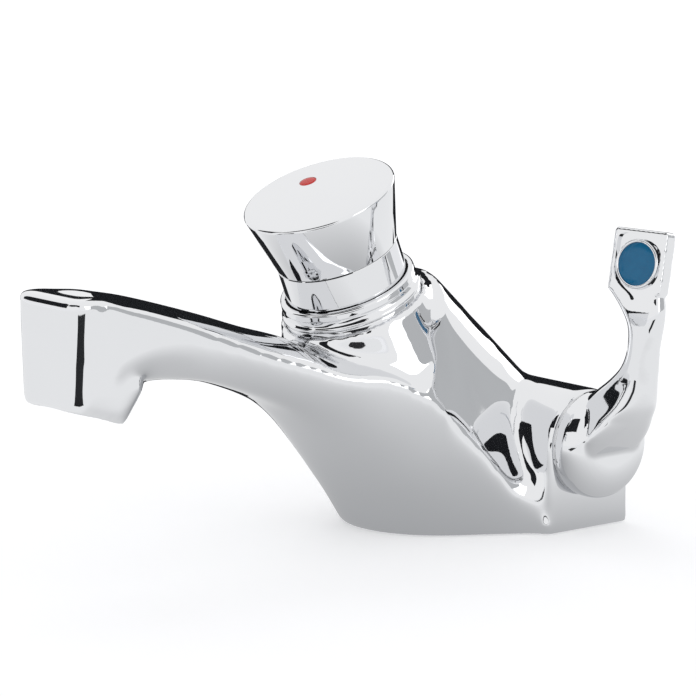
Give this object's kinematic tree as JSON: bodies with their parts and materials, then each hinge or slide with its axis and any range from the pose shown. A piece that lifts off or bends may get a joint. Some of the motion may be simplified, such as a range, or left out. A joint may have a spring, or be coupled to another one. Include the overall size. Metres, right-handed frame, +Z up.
{
  "type": "push timed tap",
  "caption": "Self-closing basin tap with a tilted push button, an arched spout and a side lever that mixes hot and cold water.",
  "frame": {"origin": "centre of the base's round front on the deck, on the axis of the fixing stud's hole", "axes": "-Y along the spout away from the wall, +X towards the lever, +Z up from the deck"},
  "size_m": [0.0983, 0.1681, 0.0984],
  "materials": {
    "chrome_body": "polished chrome plate on cast brass",
    "chrome_button": "polished chrome plate",
    "chrome_collar": "polished chrome plate",
    "chrome_lever": "polished chrome plate",
    "chrome_outlet": "satin chrome plate",
    "red_enamel": "red enamel, glossy",
    "blue_enamel": "blue enamel, glossy",
    "brass": "turned brass",
    "stainless": "drawn stainless steel",
    "acetal": "moulded white acetal",
    "rubber": "black rubber"
  },
  "bodies": {
    "tap": {"tap_body": "chrome_body", "base_gasket": "rubber", "collar_nut": "chrome_collar", "collar_wiper": "rubber", "cartridge_head": "acetal", "head_o_ring": "rubber", "stem_o_ring": "rubber", "timing_sleeve": "acetal", "valve_seat": "acetal", "seat_o_ring": "rubber", "return_spring": "stainless", "mixing_sleeve": "acetal", "thrust_washer": "acetal", "mixing_gland": "brass", "shaft_o_ring": "rubber", "lever_washer": "chrome_collar", "aerator_housing": "chrome_outlet", "aerator_mesh": "stainless", "aerator_insert": "acetal", "aerator_washer": "rubber", "inlet_strainer_left": "stainless", "inlet_strainer_right": "stainless", "check_body_left": "acetal", "check_body_right": "acetal", "check_spring_left": "stainless", "check_spring_right": "stainless"},
    "button": {"button_cap": "chrome_button", "button_skirt": "chrome_button", "red_indicator": "red_enamel", "button_stem": "brass", "timing_piston": "acetal", "piston_lip_seal": "rubber", "piston_clip": "stainless", "timing_jet": "stainless", "valve_disc": "rubber", "disc_holder": "brass", "disc_nut": "brass"},
    "lever": {"mixing_lever": "chrome_lever", "mixing_barrel": "brass", "barrel_o_rings": "rubber", "badge_bezel": "chrome_lever", "badge_disc": "blue_enamel", "lever_grub_screw": "stainless"},
    "poppet_left": {"check_poppet_left": "acetal"},
    "poppet_right": {"check_poppet_right": "acetal"}
  },
  "joints": [
    {"name": "push_button", "type": "slide", "parent": "tap", "child": "button", "axis": [0, 0.3746, -0.9272], "range_m": [0, 0.007], "stiffness_N_per_m": 2000, "springref_m": -0.006, "deforming": ["return_spring"]},
    {"name": "lever_turn", "type": "hinge", "parent": "tap", "child": "lever", "pos_m": [0, 0.0208, 0.0232], "axis": [1, 0, 0], "range_deg": [-45, 45]},
    {"name": "check_left_lift", "type": "slide", "parent": "tap", "child": "poppet_left", "axis": [0, 0, 1], "range_m": [0, 0.0015], "stiffness_N_per_m": 60, "springref_m": -0.001, "deforming": ["check_spring_left"]},
    {"name": "check_right_lift", "type": "slide", "parent": "tap", "child": "poppet_right", "axis": [0, 0, 1], "range_m": [0, 0.0015], "stiffness_N_per_m": 60, "springref_m": -0.001, "deforming": ["check_spring_right"]}
  ]
}
